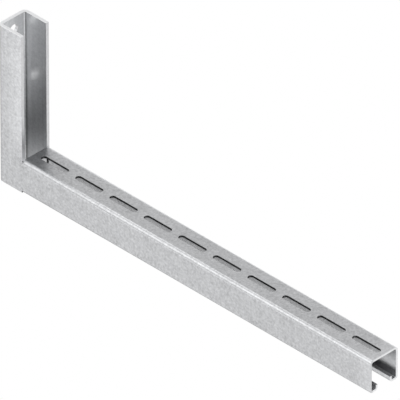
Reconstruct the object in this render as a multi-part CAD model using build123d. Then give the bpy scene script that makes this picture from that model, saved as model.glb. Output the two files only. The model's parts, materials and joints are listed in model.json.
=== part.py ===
from build123d import *
import os

# Cantilever bracket for a wall, in millimetres: an upright channel that is bolted
# to the wall, and a slotted channel arm that is welded to its foot.
# X runs out from the wall along the arm, Y runs across the bracket and Z is up.
# The origin lies on the wall face, midway between the two fixing holes.

# The width that both channels share, so that their side faces lie flush
BRACKET_WIDTH = 40.0

# Upright: a plain channel folded from plate, its web on the wall and its flanges
# pointing along the arm
UPRIGHT_HEIGHT = 195.0
UPRIGHT_DEPTH = 35.0
UPRIGHT_PLATE = 4.0
UPRIGHT_BEND_RADIUS = 2.0

# Fixing holes through the upright's web, counted down from its top end
WALL_HOLE_DIAMETER = 12.0
WALL_HOLE_FROM_TOP = 15.0
WALL_HOLE_PITCH = 70.0

# Arm: a channel rolled from strip, its web up and its mouth down, with the two
# edges of the strip turned up into the mouth as lips. The bends beside the web are
# rounder than those at the foot of the walls and of the lips.
ARM_LENGTH = 503.5
ARM_HEIGHT = 40.0
ARM_STRIP = 2.5
WEB_BEND_RADIUS = 2.0
LIP_BEND_RADIUS = 1.0
MOUTH_WIDTH = 18.0
LIP_HEIGHT = 7.0

# Long holes through the arm's web, counted back from its free end
SLOT_LENGTH = 38.0
SLOT_WIDTH = 7.0
SLOT_PITCH = 50.0
SLOT_FROM_TIP = 25.0

# Butt welds down both sides of the foot. The arm's end is bevelled to take them,
# apart from a narrow land along the inside of its wall.
WELD_LAND = 1.0

# Places that follow from the sizes
TOP = WALL_HOLE_FROM_TOP + WALL_HOLE_PITCH / 2
FOOT = TOP - UPRIGHT_HEIGHT
ARM_TOP = FOOT + ARM_HEIGHT
ARM_TIP = UPRIGHT_DEPTH + ARM_LENGTH
SIDE = BRACKET_WIDTH / 2


def folded_section(skin_points, sheet, bend_radii):
    """Section of a folded sheet, from the line that its outer skin follows.

    The points go round so that the sheet lies on the left of the line. There is
    one inner bend radius for each corner between the line's ends.
    """
    skin = FilletPolyline(*skin_points, radius=[radius + sheet for radius in bend_radii])
    outline = offset(skin, amount=sheet, side=Side.LEFT)
    return make_face(outline.edges())


def upright_channel():
    """Channel standing on end, with two round holes through its web."""
    skin_points = [
        (UPRIGHT_DEPTH, SIDE),
        (0, SIDE),
        (0, -SIDE),
        (UPRIGHT_DEPTH, -SIDE),
    ]
    section = folded_section(skin_points, UPRIGHT_PLATE, 2 * [UPRIGHT_BEND_RADIUS])
    channel = extrude(Pos(0, 0, FOOT) * section, amount=UPRIGHT_HEIGHT)
    for height in (WALL_HOLE_PITCH / 2, -WALL_HOLE_PITCH / 2):
        hole = Pos(0, 0, height) * Rot(0, 90, 0) * Cylinder(WALL_HOLE_DIAMETER / 2, 4 * UPRIGHT_PLATE)
        channel -= hole
    return channel


def arm_profile():
    """Solid length of lipped channel, before its holes and bevels."""
    mouth = MOUTH_WIDTH / 2
    skin_points = [
        (mouth, LIP_HEIGHT),
        (mouth, 0),
        (SIDE, 0),
        (SIDE, ARM_HEIGHT),
        (-SIDE, ARM_HEIGHT),
        (-SIDE, 0),
        (-mouth, 0),
        (-mouth, LIP_HEIGHT),
    ]
    foot_bends = 2 * [LIP_BEND_RADIUS]
    section = folded_section(skin_points, ARM_STRIP, foot_bends + 2 * [WEB_BEND_RADIUS] + foot_bends)
    start = Plane(origin=(UPRIGHT_DEPTH, 0, FOOT), x_dir=(0, 1, 0), z_dir=(1, 0, 0))
    return extrude(start * section, amount=ARM_LENGTH)


def slot_places():
    """Centres of the long holes along X, from the arm's tip back to the upright."""
    room = ARM_LENGTH - SLOT_FROM_TIP - SLOT_LENGTH / 2
    count = int(room // SLOT_PITCH) + 1
    return [ARM_TIP - SLOT_FROM_TIP - index * SLOT_PITCH for index in range(count)]


def long_holes():
    """Cutters for the row of long holes along the middle of the arm's web."""
    hole = extrude(SlotOverall(SLOT_LENGTH, SLOT_WIDTH), amount=2 * ARM_STRIP, both=True)
    return [Pos(place, 0, ARM_TOP) * hole for place in slot_places()]


def weld_seam(side):
    """One butt weld, dressed flush, on the side of the foot that side points to.

    It fills the bevel over the flat height of the arm's wall, between its bends.
    """
    bevel = ARM_STRIP - WELD_LAND
    skin = side * SIDE
    root = skin - side * bevel
    groove = Polyline(
        (UPRIGHT_DEPTH, skin),
        (UPRIGHT_DEPTH + bevel, skin),
        (UPRIGHT_DEPTH, root),
        close=True,
    )
    bottom = FOOT + LIP_BEND_RADIUS + ARM_STRIP
    top = ARM_TOP - WEB_BEND_RADIUS - ARM_STRIP
    seam_face = Pos(0, 0, bottom) * make_face(groove.edges())
    return extrude(seam_face, amount=top - bottom, dir=(0, 0, 1))


def arm_channel(seams):
    """Lipped channel with its long holes, bevelled for the welds at its foot."""
    arm = arm_profile()
    for hole in long_holes():
        arm -= hole
    for seam in seams:
        arm -= seam
    return arm


def write_node(name, shape):
    """Write one piece of the bracket to its own file."""
    shape.label = name
    export_step(shape, f"parts/{name}.step")


def main():
    os.makedirs("parts", exist_ok=True)
    seams = [weld_seam(1), weld_seam(-1)]
    write_node("upright_channel", upright_channel())
    write_node("arm_channel", arm_channel(seams))
    write_node("weld_seams", Compound(children=seams))


main()
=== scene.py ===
# %% [markdown]
# # A galvanised cantilever bracket
#
# The bracket is two steel channels. An upright is bolted to a wall, and a slotted arm is
# welded to its foot. Both are folded from flat sheet, so this lesson models them as a
# fitter would think of them: first a bent skin with its holes, then the sheet's thickness,
# then the rounding that zinc leaves on every cut edge.
#
# Lengths are in metres. X runs out from the wall along the arm, Y across and Z up.

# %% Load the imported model
import json
import math

import bmesh
import bpy
from mathutils import Matrix, Vector


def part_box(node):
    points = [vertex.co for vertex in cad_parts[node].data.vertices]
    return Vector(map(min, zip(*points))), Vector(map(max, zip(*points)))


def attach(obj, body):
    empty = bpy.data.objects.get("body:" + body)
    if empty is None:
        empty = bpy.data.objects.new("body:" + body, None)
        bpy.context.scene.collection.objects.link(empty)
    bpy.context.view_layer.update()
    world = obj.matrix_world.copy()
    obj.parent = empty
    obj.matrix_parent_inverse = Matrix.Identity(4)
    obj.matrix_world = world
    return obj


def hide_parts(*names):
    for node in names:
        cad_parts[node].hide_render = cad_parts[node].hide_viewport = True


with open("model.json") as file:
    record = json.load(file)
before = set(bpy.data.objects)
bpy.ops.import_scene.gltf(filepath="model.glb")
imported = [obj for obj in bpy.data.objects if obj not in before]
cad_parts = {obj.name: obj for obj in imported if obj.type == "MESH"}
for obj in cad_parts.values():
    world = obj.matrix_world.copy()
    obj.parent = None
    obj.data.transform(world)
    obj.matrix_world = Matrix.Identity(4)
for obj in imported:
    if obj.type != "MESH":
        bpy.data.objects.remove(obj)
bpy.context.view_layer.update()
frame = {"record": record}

# %% [markdown]
# ## Sizes
#
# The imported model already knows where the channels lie, and its record knows the holes,
# so those sizes are read and not typed again. Only what neither of them tells is named
# here: the sheet thicknesses, the bends and the lips.

# %% Read and name the sizes
upright_low, upright_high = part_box("upright_channel")
arm_low, arm_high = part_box("arm_channel")
mounts = {mount["name"]: mount for mount in frame["record"]["mounts"]}
wall_hole = mounts["wall_holes"]["dims"]
long_hole = mounts["arm_slots_1_2"]["dims"]

MM = 0.001
PLATE = 4.0 * MM
PLATE_BEND = PLATE + 2.0 * MM
STRIP = 2.5 * MM
WEB_BEND = STRIP + 2.0 * MM
LIP_BEND = STRIP + 1.0 * MM
MOUTH = 18.0 * MM
LIP_HEIGHT = 7.0 * MM

SIDE = arm_high.y
FOOT = upright_low.z
TOP = upright_high.z
ARM_TOP = arm_high.z
ARM_LENGTH = arm_high.x - arm_low.x
DEPTH = upright_high.x
HOLE_PITCH = wall_hole["spacing_y_mm"] * MM
HOLE_RADIUS = wall_hole["hole_r_mm"] * MM
SLOT_PITCH = long_hole["spacing_x_mm"] * MM
SLOT_LENGTH = long_hole["slot_length_mm"] * MM
SLOT_RADIUS = long_hole["hole_r_mm"] * MM
print("arm length", round(ARM_LENGTH, 4), "upright height", round(TOP - FOOT, 4))
print("slot pitch", SLOT_PITCH, "wall hole pitch", HOLE_PITCH)

# %% [markdown]
# ## Three helpers for node trees
#
# Every finish is a small net of nodes. Made one by one, the nodes and their links would
# fill pages, so three helpers do what comes back each time: open a group with named
# sockets, add a node with its settings and its inputs, and do a sum.

# %% Helpers for node trees
NUMBER = "NodeSocketFloat"
VECTOR = "NodeSocketVector"


def node_group(name, inputs, outputs):
    """Empty shader group with named sockets, and its input and output nodes."""
    group = bpy.data.node_groups.new(name, "ShaderNodeTree")
    for label, kind, value in inputs:
        socket = group.interface.new_socket(label, in_out="INPUT", socket_type=kind)
        if value is not None:
            socket.default_value = value
    for label, kind in outputs:
        group.interface.new_socket(label, in_out="OUTPUT", socket_type=kind)
    print("group", name, "takes", [label for label, kind, value in inputs])
    return group, group.nodes.new("NodeGroupInput"), group.nodes.new("NodeGroupOutput")


def put(tree, kind, values=None, **settings):
    """New node in a tree, its settings made and its sockets linked or set by name."""
    node = tree.nodes.new(kind)
    for label, value in settings.items():
        setattr(node, label, value)
    for label, value in (values or {}).items():
        if isinstance(value, bpy.types.NodeSocket):
            tree.links.new(value, node.inputs[label])
        else:
            node.inputs[label].default_value = value
    return node


def maths(tree, operation, first, second):
    """Output of a Math node."""
    return put(tree, "ShaderNodeMath", {0: first, 1: second}, operation=operation).outputs[0]


# %% [markdown]
# ## The bloom of the zinc
#
# Hot-dip zinc isn't one grey. Close up it is a fine patchwork of crystals, each a little
# lighter or darker, and from further off soft clouds drift over it. A picture could show
# that, but noise textures on Object coordinates have no seams, keep their real size on any
# piece and need no unwrapping. Every finish below uses it, so it is a node group.

# %% The bloom group
CRYSTAL_SHARE = 0.68
FACET_SHARE = 0.12
CLOUD_SHARE = 0.2


def bloom_group():
    group, given, made = node_group(
        "zinc_bloom",
        [("Place", VECTOR, None),
         ("Crystals per Metre", NUMBER, 360.0),
         ("Clouds per Metre", NUMBER, 38.0)],
        [("Tone", NUMBER), ("Height", NUMBER)])
    place = given.outputs["Place"]
    fine = given.outputs["Crystals per Metre"]
    coarse = given.outputs["Clouds per Metre"]
    crystal = put(group, "ShaderNodeTexNoise",
                  {"Vector": place, "Scale": fine, "Detail": 2.0, "Roughness": 0.6})
    cell = put(group, "ShaderNodeTexVoronoi",
               {"Vector": place, "Scale": fine, "Randomness": 1.0})
    cloud = put(group, "ShaderNodeTexNoise",
                {"Vector": place, "Scale": coarse, "Detail": 3.0, "Roughness": 0.65})
    facet = put(group, "ShaderNodeSeparateColor", {"Color": cell.outputs["Color"]})
    tone = maths(group, "ADD",
                 maths(group, "MULTIPLY", crystal.outputs["Fac"], CRYSTAL_SHARE),
                 maths(group, "MULTIPLY", facet.outputs["Red"], FACET_SHARE))
    tone = maths(group, "ADD", tone,
                 maths(group, "MULTIPLY", cloud.outputs["Fac"], CLOUD_SHARE))
    group.links.new(tone, made.inputs["Tone"])
    group.links.new(crystal.outputs["Fac"], made.inputs["Height"])
    return group


BLOOM = bloom_group()

# %% [markdown]
# ## Streaks of the draining bath
#
# When the bracket is lifted out of the zinc bath, the metal drains off and leaves faint
# streaks along its length. They are the same noise, only squeezed in two directions and
# drawn out in the third, so the group takes the stretch as one vector. Its mask lies
# evenly about nothing, so that streaks darken as often as they lighten.

# %% The streak group
def streak_group():
    group, given, made = node_group(
        "drain_streaks",
        [("Place", VECTOR, None), ("Stretch", VECTOR, (300.0, 300.0, 6.0))],
        [("Mask", NUMBER)])
    drawn = put(group, "ShaderNodeVectorMath",
                {0: given.outputs["Place"], 1: given.outputs["Stretch"]},
                operation="MULTIPLY")
    streak = put(group, "ShaderNodeTexNoise",
                 {"Vector": drawn.outputs[0], "Scale": 1.0, "Detail": 2.0})
    even = maths(group, "SUBTRACT", streak.outputs["Fac"], 0.5)
    group.links.new(even, made.inputs["Mask"])
    return group


STREAKS = streak_group()

# %% [markdown]
# ## Lighter along a ramp
#
# Some faces grow lighter along a slow ramp: the upright's outside towards its flanges' front
# edges above the arm, and the arm's open end, where the zinc lies a little thicker. Inside
# the upright towards its top, on its top end and inside the arm near its open end, the ramp
# is painted light, standing in for the light that comes in at the top and the open end.
# These are slow ramps and not borders, so they are worked out from the Object coordinates
# with two map ranges, one out from the wall and one up. A ramp that is full before the metal
# begins leaves its direction out.

# %% The ramp group
def make_ramp_group():
    group, given, made = node_group(
        "zinc_and_painted_light_ramp",
        [("Place", VECTOR, None), ("From", NUMBER, 0.0), ("Edge", NUMBER, 0.035),
         ("Low", NUMBER, -0.1), ("High", NUMBER, 0.0)],
        [("Mask", NUMBER)])
    axes = put(group, "ShaderNodeSeparateXYZ", {"Vector": given.outputs["Place"]})
    out_from_wall = put(group, "ShaderNodeMapRange",
                        {"Value": axes.outputs["X"],
                         "From Min": given.outputs["From"],
                         "From Max": given.outputs["Edge"]})
    up = put(group, "ShaderNodeMapRange",
             {"Value": axes.outputs["Z"],
              "From Min": given.outputs["Low"],
              "From Max": given.outputs["High"]},
             interpolation_type="SMOOTHSTEP")
    mask = maths(group, "MULTIPLY", out_from_wall.outputs["Result"], up.outputs["Result"])
    group.links.new(mask, made.inputs["Mask"])
    return group


ZINC_AND_LIGHT_RAMP = make_ramp_group()

# %% [markdown]
# ## Painted light and shade at the corners
#
# A painted highlight brightens the colour along every fold. A fold is simply where the metal
# is close to two faces of its box at once, so the mask is one ramp times another and fits
# any channel. Near the wall the fold lies in the upright's shade, so a third ramp lets the
# painted highlight come up slowly along the arm. With its strength below nothing, the same
# group paints shade into the upright's inner corners.

# %% The corner light and shade group
FULL_SHARE = 0.3


def make_corner_group():
    group, given, made = node_group(
        "painted_corner_light_and_shade",
        [("Place", VECTOR, None), ("Middle", VECTOR, None), ("Half Size", VECTOR, None),
         ("Reach", VECTOR, None), ("Along", VECTOR, (1.0, 0.0, 0.0)),
         ("From", NUMBER, 0.0), ("Full", NUMBER, 0.0)],
        [("Mask", NUMBER)])
    place = given.outputs["Place"]
    reach = given.outputs["Reach"]
    off = put(group, "ShaderNodeVectorMath",
              {0: place, 1: given.outputs["Middle"]}, operation="SUBTRACT")
    either_side = put(group, "ShaderNodeVectorMath", {0: off.outputs[0]},
                      operation="ABSOLUTE")
    inside = put(group, "ShaderNodeVectorMath",
                 {0: given.outputs["Half Size"], 1: either_side.outputs[0]},
                 operation="SUBTRACT")
    close = put(group, "ShaderNodeVectorMath", {0: reach, "Scale": FULL_SHARE},
                operation="SCALE")
    nearness = put(group, "ShaderNodeMapRange",
                   {"Vector": inside.outputs[0],
                    "From Min": reach, "From Max": close.outputs[0],
                    "To Min": (0.0, 0.0, 0.0), "To Max": (1.0, 1.0, 1.0)},
                   data_type="FLOAT_VECTOR")
    near = put(group, "ShaderNodeSeparateXYZ", {"Vector": nearness.outputs["Vector"]}).outputs
    corner = maths(group, "MULTIPLY", near["Y"], maths(group, "MAXIMUM", near["X"], near["Z"]))
    run = put(group, "ShaderNodeVectorMath", {0: place, 1: given.outputs["Along"]},
              operation="DOT_PRODUCT")
    coming_up = put(group, "ShaderNodeMapRange",
                    {"Value": run.outputs["Value"],
                     "From Min": given.outputs["From"],
                     "From Max": given.outputs["Full"]})
    mask = maths(group, "MULTIPLY", corner, coming_up.outputs["Result"])
    group.links.new(mask, made.inputs["Mask"])
    return group


CORNER_LIGHT_AND_SHADE = make_corner_group()

# %% [markdown]
# ## One zinc, many finishes
#
# All finishes are the same metal, so one function builds them. The bloom moves the colour
# about a mean grey, makes the lighter crystals a little glossier and lifts them by a few
# hundredths of a millimetre. What differs is given by name: the grey, the contrast, the
# relief and a list of effects, each a mask that is added to the tone with a strength.

# %% Build a zinc finish
MIDDLE_TONES = (0.2, 0.8)
GLOSS_SWING = 0.12


def zinc(name, grey, contrast, relief, effects=(), roughness=0.35):
    """Galvanised finish around a mean grey, its tones spread by contrast.

    Each effect is a mask group, a strength and the values of the group's inputs.
    """
    finish = bpy.data.materials.new(name)
    finish.use_nodes = True
    tree = finish.node_tree
    shader = tree.nodes["Principled BSDF"]
    shader.inputs["Metallic"].default_value = 1.0
    place = put(tree, "ShaderNodeTexCoord").outputs["Object"]
    bloom = put(tree, "ShaderNodeGroup", {"Place": place}, node_tree=BLOOM)
    tone = bloom.outputs["Tone"]
    for group, strength, values in effects:
        effect = put(tree, "ShaderNodeGroup", {"Place": place, **values}, node_tree=group)
        added = maths(tree, "MULTIPLY", effect.outputs["Mask"], strength)
        tone = maths(tree, "ADD", tone, added)
    colour = put(tree, "ShaderNodeMapRange",
                 {"Vector": tone,
                  "From Min": (0.0, 0.0, 0.0), "From Max": (1.0, 1.0, 1.0),
                  "To Min": [part * (1 - contrast) for part in grey],
                  "To Max": [part * (1 + contrast) for part in grey]},
                 data_type="FLOAT_VECTOR", clamp=False)
    gloss = put(tree, "ShaderNodeMapRange",
                {"Value": bloom.outputs["Tone"],
                 "From Min": MIDDLE_TONES[0], "From Max": MIDDLE_TONES[1],
                 "To Min": roughness * (1 + GLOSS_SWING),
                 "To Max": roughness * (1 - GLOSS_SWING)})
    bump = put(tree, "ShaderNodeBump",
               {"Height": bloom.outputs["Height"], "Strength": 1.0, "Distance": relief})
    tree.links.new(colour.outputs["Vector"], shader.inputs["Base Color"])
    tree.links.new(gloss.outputs["Result"], shader.inputs["Roughness"])
    tree.links.new(bump.outputs["Normal"], shader.inputs["Normal"])
    print("finish", name, "has", len(effects), "effects")
    return finish


# %% [markdown]
# ## The arm's finish
#
# Outside, the arm has the full bloom. Its folds carry a painted highlight, the stronger the
# further they are from the wall, and the top folds beside the welds get more painted light,
# which fades out 220 mm from there. The zinc is a little thicker at the open end. Inside,
# the grey is darker as painted shade, and painted light lightens it only at the open end. A
# face of the box that must not count as a corner is put far away.

# %% Finish the arm
SKIN_CONTRAST = 0.49
INNER_CONTRAST = 0.25
SKIN_RELIEF = 0.04 * MM
FOLD_HIGHLIGHT_STRENGTH = 0.35
FAR = 1.0
EVERY_HEIGHT = {"Low": FOOT - MM, "High": FOOT}
ARM_GREY = (0.567, 0.572, 0.583)
# The arm's inside grey is darker than its outside: painted shade.
ARM_SHADED_INNER_GREY = (0.488, 0.492, 0.501)

# Painted highlight along the arm's folds, painted weaker near the wall.
arm_fold_highlight = {
    "Middle": (0, 0, (ARM_TOP + FOOT) / 2),
    "Half Size": (FAR, SIDE, (ARM_TOP - FOOT) / 2),
    "Reach": (WEB_BEND, WEB_BEND, WEB_BEND),
    "Along": (1, 0, 0),
    "From": arm_low.x - 150 * MM,
    "Full": arm_low.x + 200 * MM,
}
# Painted light on the top folds near the upright, fading out along the arm.
painted_fold_light_near_wall = {
    "Middle": (0, 0, ARM_TOP - FAR),
    "Half Size": (FAR, SIDE, FAR),
    "Reach": (1 * MM, 5.5 * MM, 1.3 * MM),
    "Along": (-1, 0, 0),
    "From": -arm_low.x - 220 * MM,
    "Full": -arm_low.x - 45 * MM,
}
thick_end = {"From": arm_high.x - 25 * MM, "Edge": arm_high.x - 3 * MM, **EVERY_HEIGHT}
# Painted light inside the arm near its open end.
painted_light_at_open_end = {"From": arm_high.x - 40 * MM, "Edge": arm_high.x, **EVERY_HEIGHT}
arm_zinc = zinc(
    "arm_zinc", ARM_GREY, SKIN_CONTRAST, SKIN_RELIEF,
    [(ZINC_AND_LIGHT_RAMP, 0.14, thick_end), (CORNER_LIGHT_AND_SHADE, FOLD_HIGHLIGHT_STRENGTH, arm_fold_highlight), (CORNER_LIGHT_AND_SHADE, 0.42, painted_fold_light_near_wall)])
arm_inner_shaded_zinc = zinc(
    "arm_inner_shaded_zinc", ARM_SHADED_INNER_GREY, INNER_CONTRAST, 0.03 * MM,
    [(ZINC_AND_LIGHT_RAMP, 1.0, painted_light_at_open_end)])

# %% [markdown]
# ## The upright's finish
#
# The upright hung in the bath by its top, so it has the streaks. Outside, its folds carry
# a painted highlight like the arm's, and above the arm it grows lighter towards the flanges'
# front edges. Inside it is smoother and streakier. Its grey there is lighter than outside as
# painted light, painted light makes it lighter still towards the top, and painted shade
# darkens the bends beside the web, the more so the further down.

# %% Finish the upright
# The upright's inside grey is lighter than its outside: painted light.
UPRIGHT_LIT_INNER_GREY = (0.615, 0.621, 0.63)
EVERY_DEPTH = {"From": -FAR, "Edge": 0}

# Painted highlight along the upright's outer folds.
upright_fold_highlight = {
    "Middle": (FAR, 0, 0),
    "Half Size": (FAR, SIDE, FAR),
    "Reach": (PLATE_BEND, PLATE_BEND, PLATE_BEND),
    "Along": (1, 0, 0),
    "From": -FAR,
    "Full": 0,
}
# Painted shade in the upright's inner bends, darker further down.
painted_corner_shade = {
    "Middle": (FAR + PLATE, 0, 0),
    "Half Size": (FAR, SIDE - PLATE + MM, FAR),
    "Reach": (4 * MM, 2.5 * MM, 1 * MM),
    "Along": (0, 0, -1),
    "From": -220 * MM,
    "Full": 120 * MM,
}
front_edges = {"From": 0, "Edge": DEPTH, "Low": ARM_TOP - 5 * MM, "High": ARM_TOP + 45 * MM}
# Painted light: lighter towards the top inside the upright and on its top end.
painted_light_towards_top = {"Low": ARM_TOP, "High": TOP, **EVERY_DEPTH}
upright_zinc = zinc(
    "upright_zinc", ARM_GREY, SKIN_CONTRAST, SKIN_RELIEF,
    [(STREAKS, 0.22, {}), (ZINC_AND_LIGHT_RAMP, 0.24, front_edges), (CORNER_LIGHT_AND_SHADE, FOLD_HIGHLIGHT_STRENGTH, upright_fold_highlight)])
upright_inner_lit_zinc = zinc(
    "upright_inner_lit_zinc", UPRIGHT_LIT_INNER_GREY, INNER_CONTRAST, 0.02 * MM,
    [(STREAKS, 0.5, {}), (ZINC_AND_LIGHT_RAMP, 0.4, painted_light_towards_top), (CORNER_LIGHT_AND_SHADE, -1.4, painted_corner_shade)])

# %% [markdown]
# ## The cut edges and the welds
#
# Zinc takes differently on a cut. On sheared edges it runs smooth and light, and on the
# sawn ends lighter still; painted light makes the upright's top end lighter again. A near
# black, rough finish is painted shade, put where shade falls: on the walls of the slots, in
# the joint behind the arm and in a ball at a weld's end. Each is the same function with less
# contrast and next to no relief. The dressed welds look like the arm that they join.

# %% Finish the cut edges and the welds
CUT_CONTRAST = 0.15
CUT_RELIEF = 0.01 * MM
EDGE_GREY = (0.67, 0.675, 0.685)
SAWN_GREY = (0.86, 0.865, 0.875)
# Near black grey of the painted shade on slot walls, the joint and the weld's end.
SHADE_GREY = (0.1, 0.102, 0.105)
edge_zinc = zinc("edge_zinc", EDGE_GREY, 0.2, CUT_RELIEF)
# Painted light makes the upright's top end lighter.
sawn_zinc = zinc("sawn_zinc", SAWN_GREY, CUT_CONTRAST, CUT_RELIEF, [(ZINC_AND_LIGHT_RAMP, 0.25, painted_light_towards_top)])
painted_shade_zinc = zinc("painted_shade_zinc", SHADE_GREY, CUT_CONTRAST, CUT_RELIEF, roughness=0.45)
weld_zinc = zinc("weld_zinc", ARM_GREY, SKIN_CONTRAST, SKIN_RELIEF)

# %% [markdown]
# ## The bent line
#
# Seen end on, a folded channel is one line with round corners. A polyline could be
# bevelled afterwards, but a true arc at each corner gives the smooth roll of light along
# the fold, and the number of steps stays in our hands.

# %% Draw a line with rounded corners
BEND_STEPS = 12
QUARTER_TURN = math.radians(90)


def bent_line(corners, radii):
    """Points along the corners, each corner between the ends rounded to its radius."""
    points = [Vector(corners[0])]
    for before, corner, after, radius in zip(corners, corners[1:], corners[2:], radii):
        corner = Vector(corner)
        back = (Vector(before) - corner).normalized()
        ahead = (Vector(after) - corner).normalized()
        centre = corner + (back + ahead) * radius
        for step in range(BEND_STEPS + 1):
            turn = QUARTER_TURN * step / BEND_STEPS
            points.append(centre - radius * (ahead * math.cos(turn) + back * math.sin(turn)))
    points.append(Vector(corners[-1]))
    return points


def flat_after(corner_number):
    """Index of the line's point where the flat after that rounded corner begins."""
    return corner_number * (BEND_STEPS + 1)


# %% [markdown]
# ## Rings round a hole
#
# Strut is punched while it is still flat strip, one hole for each pitch, and then rolled.
# A length with one hole in it is therefore the natural building block. Cutting the holes
# with a boolean would leave long thin faces, so the skin round a hole is laid out as rings
# of quads between the hole and the edge of its cell. A round hole is a long hole whose
# straight part is nothing.

# %% Lay out the rings round a hole
HOLE_STEPS = 8


def hole_rings(length, hole_at, straight, radius, half_width):
    """Matching points, as (run, across), round a hole and round its cell."""
    hole, cell = [], []
    for end in (1, -1):
        centre = hole_at + end * straight / 2
        reach = length - centre if end == 1 else centre
        for step in range(2 * HOLE_STEPS + 1):
            turn = QUARTER_TURN * (1 - step / HOLE_STEPS)
            run = centre + end * radius * math.cos(turn)
            hole.append((run, end * radius * math.sin(turn)))
            share = min(step, 2 * HOLE_STEPS - step) / HOLE_STEPS
            run = centre + end * reach * min(1, 2 * share)
            across = half_width * min(1, 2 * (1 - share))
            across *= end if step <= HOLE_STEPS else -end
            cell.append((run, across))
    return hole, cell


# %% [markdown]
# ## One length of pierced skin
#
# The rings make the web of one length, and the rest of the bent line only needs to be
# drawn along at the same marks. All of it is quads between rows of points, so one small
# function adds them, and it skips a quad that has shrunk to a line at a corner.

# %% Lay out one length of skin
TOUCHING = 0.001 * MM


def add_faces(skin, loops):
    """Quads between each two neighbouring rows of points, all rows equally long."""
    rows = [[skin.verts.new(point) for point in row] for row in loops]
    for low, high in zip(rows, rows[1:]):
        for corner in range(len(low) - 1):
            quad = [low[corner], low[corner + 1], high[corner + 1], high[corner]]
            if len({tuple(round(c, 7) for c in v.co) for v in quad}) > 2:
                skin.faces.new(quad)


def skin_length(line, web, place, length, hole=None):
    """Mesh of one length of bent skin, its web pierced by a hole if one is given.

    place turns a distance along the channel and a point of the line into a 3-D point.
    """
    skin = bmesh.new()
    half_width = (line[web] - line[web + 1]).length / 2

    def on_web(run, across):
        share = (half_width - across) / (2 * half_width)
        return place(run, line[web].lerp(line[web + 1], share))

    marks = [0, length]
    if hole:
        rim, cell = hole_rings(length, *hole, half_width)
        at_bend = {round(run, 9) for run, across in cell if across > half_width - TOUCHING}
        marks = sorted(at_bend)
        rim.append(rim[0])
        cell.append(cell[0])
        add_faces(skin, [[on_web(*point) for point in ring] for ring in (rim, cell)])
    else:
        steps = range(HOLE_STEPS + 1)
        cuts = [half_width * (1 - 2 * step / HOLE_STEPS) for step in steps]
        add_faces(skin, [[on_web(run, across) for across in cuts] for run in marks])
    for part in (line[: web + 1], line[web + 1:]):
        add_faces(skin, [[place(run, point) for point in part] for run in marks])
    bmesh.ops.remove_doubles(skin, verts=skin.verts, dist=TOUCHING)
    mesh = bpy.data.meshes.new("skin_length")
    skin.to_mesh(mesh)
    skin.free()
    return mesh


# %% [markdown]
# ## Repeat one pitch with Geometry Nodes
#
# The press strikes the same hole every 50 mm, and the node tree does the same: it puts one
# copy of the pierced length on each point of a line, makes the copies real and closes the
# joins between them. The count and the step stay inputs of the tree.

# %% Build the tree that repeats a length
JOIN_GAP = 10 * TOUCHING


def repeat_tree():
    tree = bpy.data.node_groups.new("repeat_pitch", "GeometryNodeTree")
    kinds = {"Length": "Geometry", "Count": "Int", "Step": "Vector", "Finish": "Material"}
    for label, kind in kinds.items():
        tree.interface.new_socket(label, in_out="INPUT", socket_type="NodeSocket" + kind)
    tree.interface.new_socket("Channel", in_out="OUTPUT", socket_type="NodeSocketGeometry")
    given = tree.nodes.new("NodeGroupInput").outputs
    line = put(tree, "GeometryNodeMeshLine",
               {"Count": given["Count"], "Offset": given["Step"]})
    copies = put(tree, "GeometryNodeInstanceOnPoints",
                 {"Points": line.outputs["Mesh"], "Instance": given["Length"]})
    real = put(tree, "GeometryNodeRealizeInstances",
               {"Geometry": copies.outputs["Instances"]})
    closed = put(tree, "GeometryNodeMergeByDistance",
                 {"Geometry": real.outputs["Geometry"], "Distance": JOIN_GAP})
    finish = put(tree, "GeometryNodeSetMaterial",
                 {"Geometry": closed.outputs["Geometry"], "Material": given["Finish"]})
    made = tree.nodes.new("NodeGroupOutput")
    tree.links.new(finish.outputs["Geometry"], made.inputs["Channel"])
    print("tree", tree.name, "takes", list(kinds))
    return tree


REPEAT = repeat_tree()

# %% [markdown]
# ## Use the tree
#
# The tree works as a modifier on a passing holder object. A modifier's inputs are set by
# the identifier of each socket, and the result is then read back as a plain mesh, so that
# nothing is left to work out when the scene is exported.

# %% Repeat a length
def plain_mesh(holder):
    """Plain mesh of an object with its modifiers worked in. The object is removed."""
    bpy.context.scene.collection.objects.link(holder)
    worked_out = holder.evaluated_get(bpy.context.evaluated_depsgraph_get())
    plain = bpy.data.meshes.new_from_object(worked_out)
    bpy.data.objects.remove(holder)
    return plain


def repeated(mesh, count, step, finish):
    """Plain mesh of a length that is repeated count times, one step apart."""
    holder = bpy.data.objects.new("holder", mesh)
    nodes = holder.modifiers.new("repeat", "NODES")
    nodes.node_group = REPEAT
    keys = {s.name: s.identifier for s in REPEAT.interface.items_tree if s.in_out == "INPUT"}
    nodes[keys["Count"]] = count
    nodes[keys["Step"]] = step
    nodes[keys["Finish"]] = finish
    return plain_mesh(holder)


# %% [markdown]
# ## From skin to sheet
#
# The skin is the outside of the sheet. The lengths of one channel are joined and turned to
# face outwards, and then Solidify grows the thickness inwards and puts the inner face and
# the rim on materials of their own.

# %% Join skins and thicken them
OUTER, INNER, RIM = 0, 1, 2


def joined(skins, outward, finishes):
    """Mesh of the skins that follow each other along a channel, facing outward."""
    whole = bmesh.new()
    for skin in skins:
        whole.from_mesh(skin)
    bmesh.ops.remove_doubles(whole, verts=whole.verts, dist=JOIN_GAP)
    bmesh.ops.recalc_face_normals(whole, faces=whole.faces)
    if sum(face.calc_area() * face.normal.dot(outward) for face in whole.faces) < 0:
        bmesh.ops.reverse_faces(whole, faces=whole.faces)
    for face in whole.faces:
        face.material_index = OUTER
    mesh = bpy.data.meshes.new("joined")
    whole.to_mesh(mesh)
    whole.free()
    for finish in finishes:
        mesh.materials.append(finish)
    return mesh


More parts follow.
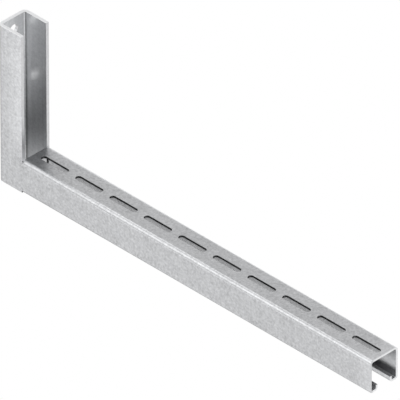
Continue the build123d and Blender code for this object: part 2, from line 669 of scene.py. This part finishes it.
def thickened(skin, thickness):
    """Plain mesh of a skin grown inwards to a sheet."""
    holder = bpy.data.objects.new("holder", skin)
    sheet = holder.modifiers.new("sheet", "SOLIDIFY")
    sheet.thickness = thickness
    sheet.offset = -1
    sheet.use_even_offset = True
    sheet.material_offset = INNER
    sheet.material_offset_rim = RIM
    return plain_mesh(holder)


# %% [markdown]
# ## Round edges
#
# Zinc runs over every cut edge and leaves it round: broadly on the sheared ends, hardly at
# all in the punched holes. One Bevel modifier has one width, so the edges are rounded in
# bmesh, each kind by itself, and a test says which faces of the rim a width is for. The
# same kind of test later gives some faces of the rim a finish of their own.

# %% Round the cut edges and make the channel
EDGE_STEPS = 4
SHARP = math.radians(50)


def is_sharp(edge):
    return len(edge.link_faces) == 2 and edge.calc_face_angle() > SHARP


def round_edges(sheet, width, chosen):
    """Round the edges of those rim faces whose middle is chosen."""
    rim = [face for face in sheet.faces if face.material_index == RIM]
    faces = [face for face in rim if chosen(face.calc_center_median())]
    edges = {edge for face in faces for edge in face.edges if is_sharp(edge)}
    bmesh.ops.bevel(sheet, geom=list(edges), offset=width, offset_type="OFFSET",
                    segments=EDGE_STEPS, profile=0.5, affect="EDGES",
                    clamp_overlap=True, material=RIM)


def channel(name, skins, thickness, outward, finishes, roundings):
    """Object of a folded channel. roundings pairs a width with the test for its edges."""
    mesh = thickened(joined(skins, outward, finishes), thickness)
    sheet = bmesh.new()
    sheet.from_mesh(mesh)
    for width, chosen in roundings:
        round_edges(sheet, width, chosen)
    for face in sheet.faces:
        face.smooth = True
    for edge in sheet.edges:
        edge.smooth = edge.calc_face_angle(0) < SHARP
    sheet.to_mesh(mesh)
    sheet.free()
    mesh.name = name
    piece = bpy.data.objects.new(name, mesh)
    bpy.context.scene.collection.objects.link(piece)
    piece.modifiers.new("flat", "WEIGHTED_NORMAL").keep_sharp = True
    print(name, "has", len(mesh.polygons), "faces")
    return piece


def finish_rim(piece, finish, chosen):
    """Give a finish of their own to those rim faces whose middle is chosen."""
    piece.data.materials.append(finish)
    for face in piece.data.polygons:
        if face.material_index == RIM and chosen(face.center):
            face.material_index = len(piece.data.materials) - 1


# %% [markdown]
# ## The arm's skin
#
# The arm is a lipped channel: a web on top, two sides, and the strip's edges turned up
# into the mouth underneath. The plain stretch beside the upright is what is left when the
# pitches have been counted back from the tip, so it comes first and the repeats follow.

# %% Roll the arm's skin
mouth = MOUTH / 2
arm_line = bent_line([
    (mouth, FOOT + LIP_HEIGHT),
    (mouth, FOOT),
    (SIDE, FOOT),
    (SIDE, ARM_TOP),
    (-SIDE, ARM_TOP),
    (-SIDE, FOOT),
    (-mouth, FOOT),
    (-mouth, FOOT + LIP_HEIGHT),
], 2 * [LIP_BEND] + 2 * [WEB_BEND] + 2 * [LIP_BEND])
arm_web = flat_after(3)
slot_count = int(ARM_LENGTH / SLOT_PITCH)
plain_start = ARM_LENGTH - slot_count * SLOT_PITCH


def along_arm(start):
    return lambda run, point: (start + run, point.x, point.y)


slot = (SLOT_PITCH / 2, SLOT_LENGTH - 2 * SLOT_RADIUS, SLOT_RADIUS)
slotted = skin_length(arm_line, arm_web, along_arm(arm_low.x + plain_start), SLOT_PITCH, slot)
arm_skins = [
    skin_length(arm_line, arm_web, along_arm(arm_low.x), plain_start),
    repeated(slotted, slot_count, (SLOT_PITCH, 0, 0), arm_zinc),
]
print("slots", slot_count, "plain stretch", round(plain_start, 4))

# %% [markdown]
# ## The arm's sheet
#
# The strip's rim is rounded everywhere except at the inner end, which is welded tight to
# the upright. The walls of the slots get the near black finish, as painted shade inside
# them. At the open end the cut edge is as light as a sawn one, and only its near side stays
# a shade darker.

# %% Thicken and finish the arm
SLOT_ROUND = 0.15 * MM
STRIP_ROUND = 0.25 * MM


def in_slot(point):
    beside = abs(point.y) < SLOT_RADIUS + SLOT_ROUND
    return beside and arm_low.x + MM < point.x < arm_high.x - MM


def at_tip_or_lip(point):
    return point.x > arm_low.x + TOUCHING and not in_slot(point)


def at_open_end(point):
    return point.x > arm_high.x - STRIP_ROUND and point.y > WEB_BEND - SIDE


arm = channel("rolled_arm", arm_skins, STRIP, Vector((0, 0, 1)),
              [arm_zinc, arm_inner_shaded_zinc, edge_zinc],
              [(SLOT_ROUND, in_slot), (STRIP_ROUND, at_tip_or_lip)])
# The walls of the slots get painted shade.
finish_rim(arm, painted_shade_zinc, in_slot)
finish_rim(arm, sawn_zinc, at_open_end)
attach(arm, "root")
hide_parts("arm_channel")

# %% [markdown]
# ## The upright's skin
#
# The upright is a plain channel from thicker plate, its web on the wall. Its two bolt
# holes are one pitch apart, so they are two repeats of a length with one round hole, and
# the plain stretch at the foot makes up the rest. That stretch is laid in two lengths that
# meet at the arm's inner top, so that the joint behind the arm has faces of its own.

# %% Fold the upright's skin
upright_line = bent_line([(DEPTH, SIDE), (0, SIDE), (0, -SIDE), (DEPTH, -SIDE)],
                         2 * [PLATE_BEND])
upright_web = flat_after(1)
hole_count = wall_hole["count"]
above_hole = TOP - HOLE_PITCH / 2
plain_foot = TOP - FOOT - hole_count * HOLE_PITCH
behind_arm = ARM_TOP - STRIP - FOOT


def up_from(start):
    return lambda run, point: (point.x, point.y, start + run)


bolt_hole = (HOLE_PITCH - above_hole, 0, HOLE_RADIUS)
pierced = skin_length(upright_line, upright_web, up_from(FOOT + plain_foot), HOLE_PITCH, bolt_hole)
upright_skins = [
    skin_length(upright_line, upright_web, up_from(FOOT), behind_arm),
    skin_length(upright_line, upright_web, up_from(FOOT + behind_arm), plain_foot - behind_arm),
    repeated(pierced, hole_count, (0, 0, HOLE_PITCH), upright_zinc),
]
print("wall holes", hole_count, "plain foot", round(plain_foot, 4))

# %% [markdown]
# ## The upright's sheet
#
# The plate's rim is rounded at both ends, along the flanges and round the holes. The ends
# get the light sawn finish. The stretch of the flanges' edges that the arm stands against
# gets the near black finish, as painted shade in the joint.

# %% Thicken and finish the upright
HOLE_ROUND = 0.3 * MM
PLATE_ROUND = 0.3 * MM


def in_wall_hole(point):
    return point.x < PLATE and FOOT + MM < point.z < TOP - MM


def at_ends_or_flange(point):
    return not in_wall_hole(point)


def at_ends(point):
    return not FOOT + PLATE_ROUND < point.z < TOP - PLATE_ROUND


def in_joint(point):
    low, high = FOOT + PLATE_ROUND, FOOT + behind_arm
    return point.x > DEPTH - PLATE_ROUND and low < point.z < high


upright = channel("folded_upright", upright_skins, PLATE, Vector((-1, 0, 0)),
                  [upright_zinc, upright_inner_lit_zinc, edge_zinc],
                  [(HOLE_ROUND, in_wall_hole), (PLATE_ROUND, at_ends_or_flange)])
finish_rim(upright, sawn_zinc, at_ends)
# The joint behind the arm gets painted shade.
finish_rim(upright, painted_shade_zinc, in_joint)
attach(upright, "root")
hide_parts("upright_channel")

# %% [markdown]
# ## The welds
#
# The arm's end is welded to the flanges' front edges, down both sides, and the bead is
# dressed flush before galvanising. What is left is a faint swell a few millimetres wide
# that fills the groove of the rounded edges. It is laid as rows across the seam, with the
# swell dying out at both ends, and closed with a back inside the metal.

# %% Lay out one row across a weld
WELD_CROWN = 0.03 * MM
WELD_SUNK = 0.01 * MM
WELD_HALF = 2.5 * MM
WELD_DEEP = 1.5 * MM
WELD_STEPS = 24
WELD_COLUMNS = 6
WELD_FADE = 6.0


def weld_row(side, share):
    """Points round one dressed weld at a share of its height."""
    bottom, top = FOOT + LIP_BEND, ARM_TOP - WEB_BEND
    height = bottom + (top - bottom) * share
    swell = WELD_CROWN * min(1, WELD_FADE * share, WELD_FADE * (1 - share))
    row = [(DEPTH, side * (SIDE - WELD_DEEP), height)]
    for step in range(-WELD_COLUMNS, WELD_COLUMNS + 1):
        across = WELD_HALF * step / WELD_COLUMNS
        crown = swell * math.cos(QUARTER_TURN * step / WELD_COLUMNS) - WELD_SUNK
        row.append((DEPTH + across, side * (SIDE + crown), height))
    return row


def is_skin(face):
    """Whether a face of the weld shows, and isn't its back or its end."""
    return abs(face.calc_center_median().y) > SIDE - WELD_DEEP / 4


# %% [markdown]
# ## The mesh of the welds
#
# Both seams go into one mesh, as they are one piece of the imported model. At the near
# weld's top end, beside the fold, a small dark ball half sunk in the metal is painted shade
# in the crevice there.

# %% Build the welds
SHADE_BALL = 0.5 * MM
WELD_FINISHES = [weld_zinc, painted_shade_zinc]

welds_mesh = bmesh.new()
for side in (1, -1):
    shares = [step / WELD_STEPS for step in range(WELD_STEPS + 1)]
    rows = [[welds_mesh.verts.new(point) for point in weld_row(side, share)] for share in shares]
    for low, high in zip(rows, rows[1:]):
        for corner, point in enumerate(low):
            after = (corner + 1) % len(low)
            face = welds_mesh.faces.new([point, low[after], high[after], high[corner]])
            face.smooth = is_skin(face)
    welds_mesh.faces.new(rows[0])
    welds_mesh.faces.new(list(reversed(rows[-1])))

# A dark ball at the near weld's top end: painted shade in the crevice.
near_end = Matrix.Translation((DEPTH + SHADE_BALL / 2, SHADE_BALL - SIDE, ARM_TOP - 2 * SHADE_BALL))
shade_ball = bmesh.ops.create_icosphere(welds_mesh, subdivisions=3, radius=SHADE_BALL, matrix=near_end)
for face in {face for point in shade_ball["verts"] for face in point.link_faces}:
    face.smooth = True
    face.material_index = WELD_FINISHES.index(painted_shade_zinc)
bmesh.ops.recalc_face_normals(welds_mesh, faces=welds_mesh.faces)

weld_data = bpy.data.meshes.new("dressed_welds")
welds_mesh.to_mesh(weld_data)
welds_mesh.free()
for finish in WELD_FINISHES:
    weld_data.materials.append(finish)
welds = bpy.data.objects.new("dressed_welds", weld_data)
bpy.context.scene.collection.objects.link(welds)
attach(welds, "root")
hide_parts("weld_seams")
print("welds", len(weld_data.polygons), "faces")

# %% [markdown]
# ## The floor
#
# The bracket hangs in the air, as it would from its wall, and the floor lies well below
# it. The floor is plain white and is there for the camera alone: it neither shades the
# bracket nor shows in the zinc, because the light from below comes from the sky further
# down. Seen from underneath it is clear, so that the lips can be looked at too.

# %% Lay the floor
FLOOR_SPAN = 8.0
FLOOR_DROP = 0.6
WHITE = (1, 1, 1, 1)
floor_mesh = bpy.data.meshes.new("floor")
square = [(-1, -1), (1, -1), (1, 1), (-1, 1)]
corners = [(x * FLOOR_SPAN, y * FLOOR_SPAN, FOOT - FLOOR_DROP) for x, y in square]
floor_mesh.from_pydata(corners, [], [(0, 1, 2, 3)])
floor = bpy.data.objects.new("floor", floor_mesh)
bpy.context.scene.collection.objects.link(floor)
floor.visible_diffuse = False
floor.visible_glossy = False
floor.visible_shadow = False

pale = bpy.data.materials.new("pale_floor")
pale.use_nodes = True
tree = pale.node_tree
tree.nodes.remove(tree.nodes["Principled BSDF"])
white = put(tree, "ShaderNodeEmission", {"Color": WHITE, "Strength": 1.0})
clear = put(tree, "ShaderNodeBsdfTransparent")
below = put(tree, "ShaderNodeNewGeometry").outputs["Backfacing"]
either = put(tree, "ShaderNodeMixShader", {0: below, 1: white.outputs[0], 2: clear.outputs[0]})
tree.links.new(either.outputs[0], tree.nodes["Material Output"].inputs["Surface"])
floor_mesh.materials.append(pale)
print("floor lies", FLOOR_DROP, "m below the foot")

# %% [markdown]
# ## The camera
#
# The bracket is seen from its front right, so far off that its edges stay parallel. A
# parallel camera would do the same, but it would keep its one scale for every other view,
# so a very long lens is used instead, and its distance follows from the width it frames.

# %% Set the camera
VIEW_CENTRE = Vector((0.2740, 0.0004, -0.0454))
FRAME_WIDTH = 0.40882
LENS = 1600.0
SENSOR = 36.0
AZIMUTH = math.radians(44.95)
ELEVATION = math.radians(35.12)
distance = FRAME_WIDTH * LENS / SENSOR
towards_camera = Vector((math.sin(AZIMUTH) * math.cos(ELEVATION),
                         -math.cos(AZIMUTH) * math.cos(ELEVATION),
                         math.sin(ELEVATION)))
camera = bpy.data.objects.new("camera", bpy.data.cameras.new("camera"))
camera.data.lens = LENS
camera.data.sensor_width = SENSOR
camera.location = VIEW_CENTRE + towards_camera * distance
camera.rotation_mode = "QUATERNION"
camera.rotation_quaternion = (-towards_camera).to_track_quat("-Z", "Y")
camera.data.clip_start = 1.0
camera.data.clip_end = 100.0
bpy.context.scene.collection.objects.link(camera)
bpy.context.scene.camera = camera
bpy.context.scene.view_settings.view_transform = "Standard"
print("camera stands", round(distance, 2), "m away")

# %% [markdown]
# ## A soft box
#
# Bare metal has no colour of its own to speak of: it shows what stands round it. So the
# studio is a ring of soft boxes that the zinc can mirror. They could be area lights, but
# those would catch the camera's eye and leave grain in the picture. Here each is a soft
# spot on the sky, brightest in its own direction and falling off evenly.

# %% One soft box on the sky
def soft_box_group():
    group, given, made = node_group(
        "soft_box",
        [("Place", VECTOR, None), ("Towards", VECTOR, None),
         ("Tightness", NUMBER, 7.4), ("Strength", NUMBER, 1.0)],
        [("Light", NUMBER)])
    aim = put(group, "ShaderNodeVectorMath", {0: given.outputs["Towards"]},
              operation="NORMALIZE")
    nearness = put(group, "ShaderNodeVectorMath",
                   {0: given.outputs["Place"], 1: aim.outputs[0]}, operation="DOT_PRODUCT")
    off = maths(group, "SUBTRACT", nearness.outputs["Value"], 1.0)
    falling = maths(group, "MULTIPLY", off, given.outputs["Tightness"])
    spread = maths(group, "EXPONENT", falling, 0.0)
    light = maths(group, "MULTIPLY", spread, given.outputs["Strength"])
    group.links.new(light, made.inputs["Light"])
    return group


SOFT_BOX = soft_box_group()

# %% [markdown]
# ## Where the soft boxes stand
#
# Each has a tightness, a direction and a strength. The broad ones light the faces, and the
# strongest stands low beyond the arm's open end, where the inside of the upright looks for
# its light. The narrow ones stand behind the wall. They draw the bright line along the
# fold and shade the side below it. An even level from the room fills in between them.

# %% Place the soft boxes
BROAD, NARROW = 7.4, 40.0
ROOM = 0.55
SOFT_BOXES = [
    (BROAD, (1, 0, -1), 1.3),
    (BROAD, (1, 0, 1), 0.8),
    (BROAD, (1, -1, 0), 0.6),
    (BROAD, (1, 1, 1), 0.45),
    (BROAD, (1, 1, -1), 0.25),
    (BROAD, (0, 1, 0), 0.4),
    (BROAD, (0, -1, 0), 0.4),
    (BROAD, (-1, 1, 0), 0.75),
    (BROAD, (-1, 1, 1), 0.06),
    (BROAD, (-1, -1, 1), 0.7),
    (BROAD, (-1, 0, -1), 0.25),
    (NARROW, (-1, 0.37, 1.37), 1.7),
    (NARROW, (-1, -1, 1), 0.5),
    (NARROW, (-1, -1.22, 0.71), 0.6),
    (NARROW, (-1, -1.22, -0.71), 1.55),
    (NARROW, (-1, -1, -1), 0.1),
]
print("soft boxes", len(SOFT_BOXES))

# %% [markdown]
# ## The studio
#
# The world adds the soft boxes up on top of the room's level. The camera itself sees plain
# white behind the bracket, because a light path tells its rays from the ones that light
# the metal.

# %% Light the studio
studio = bpy.data.worlds.new("studio")
bpy.context.scene.world = studio
studio.use_nodes = True
tree = studio.node_tree
tree.nodes.clear()
sky = put(tree, "ShaderNodeTexCoord").outputs["Generated"]
light = ROOM
for tightness, towards, strength in SOFT_BOXES:
    values = {"Place": sky, "Towards": towards, "Tightness": tightness, "Strength": strength}
    box = put(tree, "ShaderNodeGroup", values, node_tree=SOFT_BOX)
    light = maths(tree, "ADD", box.outputs["Light"], light)
lit = put(tree, "ShaderNodeBackground", {"Strength": light})
backdrop = put(tree, "ShaderNodeBackground", {"Color": WHITE, "Strength": 1.0})
for_camera = put(tree, "ShaderNodeLightPath").outputs["Is Camera Ray"]
both = put(tree, "ShaderNodeMixShader", {0: for_camera, 1: lit.outputs[0], 2: backdrop.outputs[0]})
put(tree, "ShaderNodeOutputWorld", {"Surface": both.outputs[0]})
print("world has", len(tree.nodes), "nodes")
